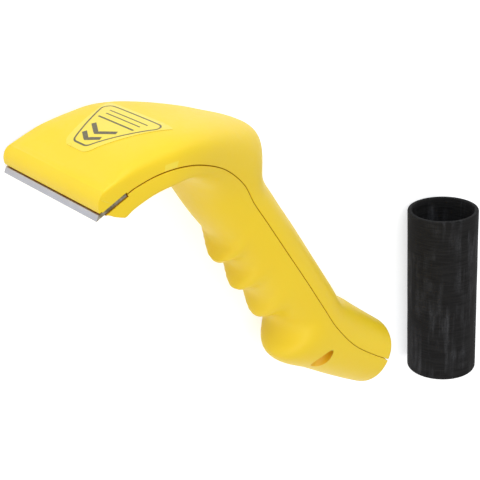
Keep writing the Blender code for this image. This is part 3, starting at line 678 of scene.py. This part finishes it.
def make_case_screw(name, base, up):
    """A cross-head screw that holds the shells together."""
    seat = -RECESS_FLOOR - GAP
    low = seat - SCREW_HEAD_HEIGHT
    profile = [(radius, low + height) for radius, height in CASE_SCREW_HEAD]
    profile += [(CASE_SCREW_HEAD[-1][0], seat), (CASE_SCREW_SHANK, seat)]
    for k in range(THREAD_TURNS):
        start = seat + THREAD_START + k * THREAD_PITCH
        profile += [(radius, start + height) for radius, height in THREAD]
    screw = turned(name, base, up, profile + list(CASE_SCREW_TIP))
    along = up.cross(ACROSS)
    for one, two in ((along, ACROSS), (ACROSS, along)):
        combine(screw, bar(base + up * low, one, two, up, *CROSS_SLOT), 'DIFFERENCE')
    return screw


def bar(centre, along, across, up, length, width, height):
    """A small tapered cutter about a centre, with its own three directions."""
    bm = bmesh.new()
    layers = []
    for k, share in ((-1, 1.0), (1, CROSS_TAPER)):
        layers.append([bm.verts.new(centre + along * i * length / 2 * share
                                    + across * j * width / 2 * share + up * k * height)
                       for i, j in ((-1, -1), (1, -1), (1, 1), (-1, 1))])
    for k in range(4):
        n = (k + 1) % 4
        bm.faces.new((layers[0][k], layers[0][n], layers[1][n], layers[1][k]))
    for layer in layers:
        bm.faces.new(layer)
    return new_object('slot', bm)


TOP_PLACES = np.linspace(*TOP_ROWS, TOP_MARKS)
TOP_X = np.array([(t[0] + t[1]).x for t in map(section, TOP_PLACES)])


def top_point(x, y, height):
    """Point over the head's top at x along and y across."""
    seam, back, _, half, corner, _ = section(float(np.interp(x, TOP_X, TOP_PLACES)))
    rise = (1 - min(abs(y) / half, 1) ** corner) ** (1 / corner)
    side = section(float(np.interp(x + TOP_PROBE, TOP_X, TOP_PLACES)))
    run = (side[0] + side[1] * rise - seam - back * rise).normalized()
    tilt = (1 - min((abs(y) + TOP_PROBE) / half, 1) ** corner) ** (1 / corner)
    cross = (ACROSS * TOP_PROBE * math.copysign(1, y) + back * (tilt - rise)).normalized()
    up = cross.cross(run).normalized()
    if up.dot(back) < 0:
        up = -up
    return seam + back * rise + ACROSS * y + up * height


def strip(bm, path, width, closed=False):
    """A printed line on the head's top, along a path of x and y, with its own thickness."""
    count = len(path)
    rows = []
    for i in range(count):
        before = path[(i - 1) % count] if closed or i > 0 else path[i]
        after = path[(i + 1) % count] if closed or i < count - 1 else path[i]
        run = Vector((after[0] - before[0], after[1] - before[1])).normalized()
        side = Vector((-run.y, run.x)) * width / 2
        x, y = path[i]
        corners = ((-1, PRINT_FOOT), (-1, PRINT_HEIGHT), (1, PRINT_HEIGHT), (1, PRINT_FOOT))
        rows.append([bm.verts.new(top_point(x + side.x * a, y + side.y * a, h)) for a, h in corners])
    pairs = list(zip(rows, rows[1:])) + ([(rows[-1], rows[0])] if closed else [])
    for one, two in pairs:
        for k in range(4):
            n = (k + 1) % 4
            bm.faces.new((one[k], one[n], two[n], two[k]))
    if not closed:
        bm.faces.new(rows[0])
        bm.faces.new(rows[-1])


def walk(points, closed=False):
    """The same path with a point at least every step."""
    path = []
    ends = points + [points[0]] if closed else points
    for one, two in zip(ends, ends[1:]):
        length = math.dist(one, two)
        count = max(int(length / PRINT_STEP), 1)
        for k in range(count):
            t = k / count
            path.append((one[0] + (two[0] - one[0]) * t, one[1] + (two[1] - one[1]) * t))
    if not closed:
        path.append(points[-1])
    return path


def label_half(x, inset=0.0):
    """Half width of the film at x, drawn in by an inset."""
    return (LABEL_WIDTH + LABEL_FRONT_WIDTH) / 4 + LABEL_TAPER / 2 * (x - LABEL_X) - inset


def make_label():
    """Clear film on the head's top, a hair above it."""
    bm = bmesh.new()
    across, along = FILM_CELLS
    layers = []
    for height in FILM_HEIGHTS:
        grid = []
        for i in range(along + 1):
            line = []
            for j in range(across + 1):
                x = LABEL_X + (2 * i / along - 1) * LABEL_LENGTH / 2
                y = (2 * j / across - 1) * label_half(x)
                over_x = abs(x - LABEL_X) - (LABEL_LENGTH / 2 - LABEL_ROUND)
                over_y = abs(y) - (label_half(x) - LABEL_ROUND)
                if over_x > 0 and over_y > 0:
                    squeeze = 1 - max(over_x, over_y) / math.hypot(over_x, over_y)
                    x -= math.copysign(over_x * squeeze, x - LABEL_X)
                    y -= math.copysign(over_y * squeeze, y)
                line.append(bm.verts.new(top_point(x, y, height)))
            grid.append(line)
        layers.append(grid)
    for grid in layers:
        for i in range(along):
            for j in range(across):
                bm.faces.new((grid[i][j], grid[i + 1][j], grid[i + 1][j + 1], grid[i][j + 1]))
    low, high = layers
    rim = [(i, 0) for i in range(along)] + [(along, j) for j in range(across)]
    rim += [(i, across) for i in range(along, 0, -1)] + [(0, j) for j in range(across, 0, -1)]
    for (a, b), (c, d) in zip(rim, rim[1:] + rim[:1]):
        bm.faces.new((low[a][b], low[c][d], high[c][d], high[a][b]))
    return new_object('film', bm)


def make_print():
    """Plain generic print on the film: a rounded frame, two chevrons to the blade and rules."""
    bm = bmesh.new()
    x0, x1 = LABEL_X - LABEL_LENGTH / 2 + FRAME_INSET, LABEL_X + LABEL_LENGTH / 2 - FRAME_INSET
    wide = [label_half(x, FRAME_SIDE_INSET) - FRAME_ROUND for x in (x0, x1)]
    turn = math.degrees(math.atan(LABEL_TAPER / 2))
    path = []
    for cx, cy, first, last in ((x0 + FRAME_ROUND, -wide[0], 180, 270 - turn),
                                (x1 - FRAME_ROUND, -wide[1], 270 - turn, 360),
                                (x1 - FRAME_ROUND, wide[1], 0, 90 + turn),
                                (x0 + FRAME_ROUND, wide[0], 90 + turn, 180)):
        for angle in np.radians(np.linspace(first, last, FRAME_ARC)):
            path.append((cx + FRAME_ROUND * math.cos(angle), cy + FRAME_ROUND * math.sin(angle)))
    strip(bm, walk(path, closed=True), FRAME_LINE, closed=True)
    for x, width, inset in RULES:
        strip(bm, walk([(x, -label_half(x, inset)), (x, label_half(x, inset))]), width)
    for shift, reach in CHEVRONS:
        tip = CHEVRON_TIP - shift
        rear = tip + reach * CHEVRON_LEAN
        strip(bm, walk([(rear, -reach), (tip, 0.0), (rear, reach)]), CHEVRON_LINE)
    return new_object('film_print', bm)


def wrap_lift(angle, height):
    """How far the imprint of the fabric wrap raises the tube's wall, or sinks it."""
    turns, rate = WRAP_GRAIN
    spot = Vector((math.cos(angle) * turns, height * rate, math.sin(angle) * turns))
    lump = LUMP_HEIGHT * (noise.noise(spot * LUMP_SHARE) - LUMP_SINK)
    wander = RIB_WANDER * noise.noise(spot * RIB_SHARE) * math.pi
    rib = math.sin(height * 2 * math.pi / RIB_PITCH + wander)
    return min(lump + RIB_HEIGHT * rib, WRAP_LIMIT)


def make_tube():
    """Rubber tube with the imprint of its fabric wrap, in its own frame along Y."""
    outer = TUBE_DIAMETER / 2
    bore = outer - TUBE_WALL
    length = TUBE_LENGTH - 2 * TUBE_END
    ends = [(bore + step, height) for step, height in BORE_ROUND]
    ends += [(outer - step, height) for step, height in OUTER_ROUND]
    profile = [(bore, k / BORE_ROWS * length + TUBE_END) for k in range(BORE_ROWS, -1, -1)] + ends
    profile += [(outer, TUBE_END + k / TUBE_ROWS * length) for k in range(1, TUBE_ROWS)]
    profile += [(radius, TUBE_LENGTH - height) for radius, height in ends[::-1]]
    turns = [2 * math.pi * k / TUBE_FACETS for k in range(TUBE_FACETS)]
    bm = bmesh.new()
    loops = []
    for radius, height in profile:
        loop = []
        for angle in turns:
            reach = radius + (wrap_lift(angle, height) if radius > outer - WRAP_FROM else 0.0)
            loop.append(bm.verts.new((reach * math.cos(angle), height, reach * math.sin(angle))))
        loops.append(loop)
    for one, two in zip(loops, loops[1:] + loops[:1]):
        for k in range(TUBE_FACETS):
            n = (k + 1) % TUBE_FACETS
            bm.faces.new((one[k], one[n], two[n], two[k]))
    return new_object('tube', bm)


def matrix_of(x, y, z, origin):
    """The matrix of a frame with these three directions, at this origin."""
    return Matrix.Translation(origin) @ Matrix((x, y, z)).transposed().to_4x4()


def tool_matrix():
    """Where the tool's own frame lies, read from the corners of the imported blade."""
    points = [v.co for v in NODES["scraper_blade"].data.vertices]
    lean_x = Vector((math.cos(BLADE_SLOPE), math.sin(BLADE_SLOPE), 0))
    lean_y = Vector((-math.sin(BLADE_SLOPE), math.cos(BLADE_SLOPE), 0))
    middle = (min(p.z for p in points) + max(p.z for p in points)) / 2
    near = [p for p in points if p.z > middle]
    far = [p for p in points if p.z < middle]
    edge_near = min(near, key=lambda p: p.dot(lean_x) + p.dot(lean_y))
    edge_far = min(far, key=lambda p: p.dot(lean_x) + p.dot(lean_y))
    rear_near = min(near, key=lambda p: p.dot(lean_y) - p.dot(lean_x))
    across = (edge_far - edge_near).normalized()
    along = (rear_near - edge_near).normalized()
    up = along.cross(across).normalized()
    x = along * math.cos(BLADE_SLOPE) - up * math.sin(BLADE_SLOPE)
    z = along * math.sin(BLADE_SLOPE) + up * math.cos(BLADE_SLOPE)
    return matrix_of(x, across, z, (edge_near + edge_far) / 2)


def tube_matrix():
    """Where the tube's own frame lies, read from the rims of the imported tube."""
    points = [v.co for v in NODES["hose_adapter"].data.vertices]
    low = min(p.y for p in points)
    high = max(p.y for p in points)
    span = (high - low) / 4
    ends = []
    for group in ([p for p in points if p.y < low + span], [p for p in points if p.y > high - span]):
        ends.append(sum(group, Vector()) / len(group))
    run = (ends[1] - ends[0]).normalized()
    middle = (ends[0] + ends[1]) / 2
    angle = math.atan2(-run.x, run.y)
    return Matrix.Translation(middle - run * TUBE_LENGTH / 2) @ Matrix.Rotation(angle, 4, 'Z')


def place(thing, matrix, body, slot_name, material, *nodes):
    """Lay a piece where it belongs, hang it on its body and hide what it stands for."""
    thing.data.transform(matrix)
    thing.data.shade_smooth()
    thing.data.set_sharp_from_angle(angle=SHARP_ANGLE)
    thing.data.materials.clear()
    thing.data.materials.append(material)
    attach(thing, body)
    if nodes:
        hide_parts(*nodes)
    return thing


class Nodes:
    """A short way to build the nodes of a material or of the world."""

    def __init__(self, owner, shader='Principled BSDF'):
        self.owner = owner
        owner.use_nodes = True
        self.tree = owner.node_tree
        self.shader = self.tree.nodes[shader]

    def put(self, value, socket):
        """Link a node's output to a socket, or set a plain number or colour there."""
        if isinstance(value, bpy.types.NodeSocket):
            self.tree.links.new(value, socket)
        elif socket.type == 'RGBA':
            socket.default_value = (*value, 1)
        else:
            socket.default_value = value

    def set(self, name, value):
        """Put a value in one of the shader's inputs."""
        self.put(value, self.shader.inputs[name])

    def add(self, kind, inputs=None, **settings):
        """A new node with its settings and inputs."""
        node = self.tree.nodes.new(kind)
        for key, value in settings.items():
            setattr(node, key, value)
        for key, value in (inputs or {}).items():
            self.put(value, node.inputs[key])
        return node

    def scaled(self, x=1, y=1, z=1):
        """The piece's own coordinates, scaled."""
        where = self.add('ShaderNodeTexCoord').outputs['Object']
        return self.add('ShaderNodeMapping', {'Vector': where, 'Scale': (x, y, z)}).outputs[0]

    def noise(self, vector, scale, detail=3.0, rough=0.5):
        """A noise from about 0.3 to 0.7."""
        return self.add('ShaderNodeTexNoise', {'Vector': vector, 'Scale': scale, 'Detail': detail,
                                               'Roughness': rough}).outputs['Fac']

    def math(self, operation, a, b):
        """One operation on two values."""
        return self.add('ShaderNodeMath', {0: a, 1: b}, operation=operation).outputs[0]

    def spread(self, value, low, high, out_low=0.0, out_high=1.0):
        """A value's range laid over another range."""
        return self.add('ShaderNodeMapRange', {'Value': value, 'From Min': low, 'From Max': high,
                                               'To Min': out_low, 'To Max': out_high}).outputs[0]

    def level(self, value, low, high):
        """A noise laid between two levels."""
        return self.spread(value, *NOISE_RANGE, low, high)

    def mix(self, share, one, two):
        """A colour between two others."""
        return self.add('ShaderNodeMix', {0: share, 6: one, 7: two}, data_type='RGBA').outputs[2]

    def deep(self, distance, low, high):
        """1 in the crevices and 0 on open faces."""
        around = self.add('ShaderNodeAmbientOcclusion', {'Distance': distance}, samples=8)
        return self.spread(around.outputs['AO'], low, high, 1.0, 0.0)

    def bump(self, height, strength, distance, **more):
        """A fine relief in the shader's normal."""
        relief = {'Height': height, 'Strength': strength, 'Distance': distance, **more}
        self.set('Normal', self.add('ShaderNodeBump', relief).outputs[0])

    def seen(self):
        """1 where the camera looks, straight or by way of metal or glass."""
        rays = self.add('ShaderNodeLightPath').outputs
        either = self.math('MAXIMUM', rays['Is Camera Ray'], rays['Is Glossy Ray'])
        return self.math('MAXIMUM', either, rays['Is Transmission Ray'])


def new_material(name):
    """The nodes of a new material."""
    return Nodes(bpy.data.materials.new(name))


def shell_material(name, one, two, low):
    """Satin moulded plastic of two near tints: flow marks, fine grain, and painted shade in its crevices,
    where the colour goes to a low tint.
    """
    n = new_material(name)
    where = n.scaled()
    flow = n.noise(where, 14.0, 2.0)
    grain = n.noise(where, 2600.0, 2.0)
    fine = n.noise(where, 420.0)
    # Painted shade: where the occlusion finds a crevice, the colour goes to the low tint and the specular
    # level drops
    deep = n.deep(0.004, 0.35, 0.62)
    n.set('Base Color', n.mix(deep, n.mix(n.spread(flow, 0.35, 0.65), one, two), low))
    n.set('Roughness', n.math('ADD', n.level(fine, 0.40, 0.48), n.level(grain, -0.02, 0.02)))
    edge = n.add('ShaderNodeBevel', {'Radius': 0.00025}, samples=4)
    n.bump(grain, 0.06, 0.0001, Normal=edge.outputs[0])
    n.set('IOR', 1.45)
    n.set('Specular IOR Level', n.spread(deep, 0.0, 1.0, 0.5, 0.0))
    n.set('Subsurface Weight', 0.12)
    n.set('Subsurface Radius', (1.0, 0.55, 0.10))
    n.set('Subsurface Scale', 0.0012)
    return n.owner


def blade_material():
    """Ground steel: fine grinding lines, stains, and a painted yellow reflection of the plastic in the
    crevices by the lip.
    """
    n = new_material('blade_steel')
    lines = n.noise(n.scaled(900, 900, 9000), 1.0, 2.0)
    stain = n.noise(n.scaled(), 160.0, 4.0)
    tint = n.mix(n.spread(stain, 0.35, 0.7), (0.365, 0.365, 0.393), (0.41, 0.41, 0.443))
    # Painted reflection: the crevices by the lip take the yellow of the shell's plastic
    n.set('Base Color', n.mix(n.deep(0.0028, 0.35, 0.97), tint, (0.62, 0.47, 0.15)))
    n.set('Metallic', 1.0)
    n.set('Roughness', n.math('ADD', n.level(lines, -0.04, 0.04), n.level(stain, 0.33, 0.38)))
    n.bump(lines, 0.12, 0.00005)
    return n.owner


def blade_end_material():
    """The blade's sheared ends: dull brown-grey with lighter streaks along them."""
    n = new_material('blade_end')
    streak = n.noise(n.scaled(500, 500, 120), 1.0, 3.0, 0.6)
    n.set('Base Color', n.mix(n.spread(streak, 0.40, 0.68), (0.155, 0.134, 0.072), (0.37, 0.34, 0.27)))
    n.set('Roughness', n.level(streak, 0.6, 0.45))
    n.set('Metallic', 0.35)
    n.bump(streak, 0.15, 0.00005)
    return n.owner


def metal_material(name, dark, light, rough):
    """Plain machined metal with slight staining."""
    n = new_material(name)
    stain = n.noise(n.scaled(), 700.0)
    n.set('Base Color', n.mix(n.spread(stain, 0.35, 0.7), dark, light))
    n.set('Roughness', n.level(stain, rough - 0.05, rough + 0.08))
    n.set('Metallic', 1.0)
    n.bump(stain, 0.1, 0.00005)
    return n.owner


def film_material():
    """Clear glossy film over the yellow plastic, a touch paler than it."""
    n = new_material('clear_film')
    flow = n.noise(n.scaled(), 60.0, 2.0)
    n.set('Base Color', n.mix(n.level(flow, 0.0, 1.0), (0.900, 0.670, 0.040), (0.915, 0.690, 0.048)))
    n.set('Roughness', n.level(flow, 0.26, 0.32))
    n.set('IOR', 1.5)
    n.bump(flow, 0.1, 0.0001)
    return n.owner


def ink_material():
    """Dull dark print, slightly broken up."""
    n = new_material('dark_ink')
    patch = n.noise(n.scaled(), 1500.0, 2.0)
    n.set('Base Color', n.mix(n.spread(patch, 0.4, 0.7), (0.085, 0.075, 0.045), (0.17, 0.14, 0.06)))
    n.set('Roughness', n.level(patch, 0.45, 0.6))
    return n.owner


def rubber_material():
    """Black rubber with a wrap imprint and chalky streaks along the tube."""
    n = new_material('black_rubber')
    streak = n.noise(n.scaled(260, 30, 260), 1.0, 4.0, 0.65)
    patch = n.noise(n.scaled(), 60.0)
    weave = n.noise(n.scaled(90, 1500, 90), 1.0, 3.0, 0.6)
    fine = n.noise(n.scaled(1400, 1400, 1400), 1.0, 2.0)
    chalk = n.math('MULTIPLY', n.spread(streak, 0.46, 0.72), n.spread(patch, 0.36, 0.60))
    chalk = n.math('MULTIPLY', chalk, n.spread(fine, 0.35, 0.6, 0.45, 1.0))
    black = n.mix(n.spread(weave, 0.35, 0.65), (0.0072, 0.0068, 0.0068), (0.0178, 0.0170, 0.0168))
    n.set('Base Color', n.mix(chalk, black, (0.064, 0.064, 0.068)))
    n.set('Roughness', n.level(weave, 0.66, 0.82))
    n.set('Specular IOR Level', 0.08)
    n.bump(weave, 0.25, 0.00012)
    return n.owner


def tint_faces(thing, material, picked):
    """Give some faces another material, picked by centre and normal in the tool's frame."""
    thing.data.materials.append(material)
    back = TOOL.inverted()
    for face in thing.data.polygons:
        if picked(back @ face.center, back.to_3x3() @ face.normal):
            face.material_index = 1


def in_recess(centre, normal):
    """Whether a face is part of the wall of a deep screw recess."""
    for base, axis, radius in CASE_SCREWS:
        away = (centre - base) - axis * (centre - base).dot(axis)
        if abs(away.length - radius) < SEAM_PINCH / 4 and normal.dot(away.normalized()) < -RECESS_FACING:
            return True
    return False


def on_cheek_line(centre, _):
    """Whether a face is part of the raised lines on the nose's ends."""
    return abs(centre.y) > HALF_HEAD + CHEEK_LINE_RISE / 2


def on_blade_end(_, normal):
    """Whether a face looks along the blade's edge, as its sheared ends do."""
    return abs(normal.y) > END_FACING


TOOL = tool_matrix()
TUBE = tube_matrix()

yellow = shell_material('yellow_plastic', (0.900, 0.620, 0.010), (0.920, 0.645, 0.014), CREVICE_SHADE)
shaded = shell_material('shaded_plastic', (0.900, 0.500, 0.010), (0.920, 0.530, 0.014), (0.90, 0.48, 0.0))
# A paler copy of the yellow plastic: a painted highlight on the raised lines at the nose's ends, where
# they catch the light
cheek_line_highlight = shell_material('painted_highlight_plastic', (0.925, 0.700, 0.045), (0.940, 0.720, 0.060), CREVICE_SHADE)
steel = metal_material('screw_steel', (0.33, 0.33, 0.34), (0.50, 0.50, 0.51), 0.32)
brass = metal_material('insert_brass', (0.55, 0.37, 0.12), (0.72, 0.52, 0.20), 0.30)

upper, lower = make_shells()
place(upper, TOOL, "scraper", "shell_yellow", yellow, "upper_shell")
place(lower, TOOL, "scraper", "shell_yellow", yellow, "lower_shell")
tint_faces(lower, shaded, in_recess)
# Painted highlight on the nose's raised end lines
tint_faces(upper, cheek_line_highlight, on_cheek_line)
blade = place(make_blade(), TOOL, "scraper", "blade_steel", blade_material(), "scraper_blade")
tint_faces(blade, blade_end_material(), on_blade_end)
for side, base in zip(("left", "right"), blade_screw_bases()):
    screw = make_blade_screw('blade_bolt_' + side, base)
    place(screw, TOOL, "scraper", "screw_steel", steel, 'blade_screw_' + side)
    insert = make_insert('brass_insert_' + side, base)
    place(insert, TOOL, "scraper", "insert_brass", brass, 'blade_insert_' + side)
for where, (base, up, _) in zip(("head_left", "head_right", "rear_left", "rear_right"), CASE_SCREWS):
    screw = make_case_screw('case_bolt_' + where, base, up)
    place(screw, TOOL, "scraper", "screw_steel", steel, 'case_screw_' + where)
place(make_label(), TOOL, "scraper", "label_clear", film_material(), "label_film")
place(make_print(), TOOL, "scraper", "label_clear", ink_material())
place(make_tube(), TUBE, "adapter", "adapter_rubber", rubber_material(), "hose_adapter")


def floor_material():
    """Pale floor that keeps the object's shadow and is white to the camera."""
    n = new_material('pale_floor')
    n.tree.nodes.remove(n.shader)
    n.shader = n.tree.nodes['Material Output']
    grain = n.noise(n.scaled(), 40.0, 2.0)
    colour = n.mix(n.level(grain, 0.0, 1.0), (0.75, 0.75, 0.75), (0.77, 0.77, 0.77))
    diffuse = n.add('ShaderNodeBsdfDiffuse', {'Color': colour})
    strength = n.math('MULTIPLY', n.seen(), FLOOR_GLOW)
    glow = n.add('ShaderNodeEmission', {'Color': (1, 1, 1), 'Strength': strength})
    n.set('Surface', n.add('ShaderNodeAddShader', {0: diffuse.outputs[0], 1: glow.outputs[0]}).outputs[0])
    return n.owner


def make_floor():
    """A plain round floor, a hair under the object."""
    bm = bmesh.new()
    turns = [2 * math.pi * k / FLOOR_FACETS for k in range(FLOOR_FACETS)]
    rim = [bm.verts.new((FLOOR_RADIUS * math.cos(a), FLOOR_RADIUS * math.sin(a), FLOOR_Z)) for a in turns]
    bm.faces.new(rim)
    floor = new_object('floor', bm)
    if floor.data.polygons[0].normal.z < 0:
        floor.data.flip_normals()
    floor.data.materials.append(floor_material())


def make_world():
    """White to the camera, and a soft ambient light on the object."""
    world = bpy.data.worlds.new('studio')
    bpy.context.scene.world = world
    n = Nodes(world, 'Background')
    n.set('Color', (1, 1, 1))
    n.set('Strength', n.spread(n.seen(), 0.0, 1.0, AMBIENT, 1.0))


def make_light(name, spot, power, colour=(1, 1, 1)):
    """One soft square lamp."""
    data = bpy.data.lights.new(name, 'AREA')
    data.shape = 'SQUARE'
    data.size = LAMP_SIZE
    data.energy = power
    data.color = colour
    lamp = bpy.data.objects.new(name, data)
    bpy.context.collection.objects.link(lamp)
    lamp.location = spot
    lamp.rotation_mode = 'QUATERNION'
    lamp.rotation_quaternion = (Vector(LAMP_AIM) - Vector(spot)).to_track_quat('-Z', 'Y')


def make_camera():
    """The photograph's camera, set in the tool's own frame."""
    x, z = Vector((1, 0, 0)), Vector((0, 0, 1))
    right = math.cos(CAMERA_TURN) * -ACROSS + math.sin(CAMERA_TURN) * x
    away = math.sin(CAMERA_TURN) * -ACROSS - math.cos(CAMERA_TURN) * x
    back = math.cos(CAMERA_TIP) * away + math.sin(CAMERA_TIP) * z
    up = math.cos(CAMERA_TIP) * z - math.sin(CAMERA_TIP) * away
    data = bpy.data.cameras.new('camera')
    data.sensor_width = 36
    data.lens = CAMERA_LENS
    data.clip_start = 0.01
    data.clip_end = 50
    camera = bpy.data.objects.new('camera', data)
    bpy.context.collection.objects.link(camera)
    camera.matrix_world = TOOL @ matrix_of(right, up, back, CAMERA_SPOT)
    bpy.context.scene.camera = camera


make_floor()
make_world()
make_light('key', (-0.40, 0.92, 0.36), 5.3, (0.88, 1.0, 1.15))
make_light('near', (-0.40, -0.15, 0.90), 2.0)
make_light('fill', (-0.70, -0.50, 0.40), 1.5)
make_light('rear', (0.55, 0.75, 0.38), 1.4)
make_camera()
bpy.context.scene.view_settings.view_transform = 'Standard'
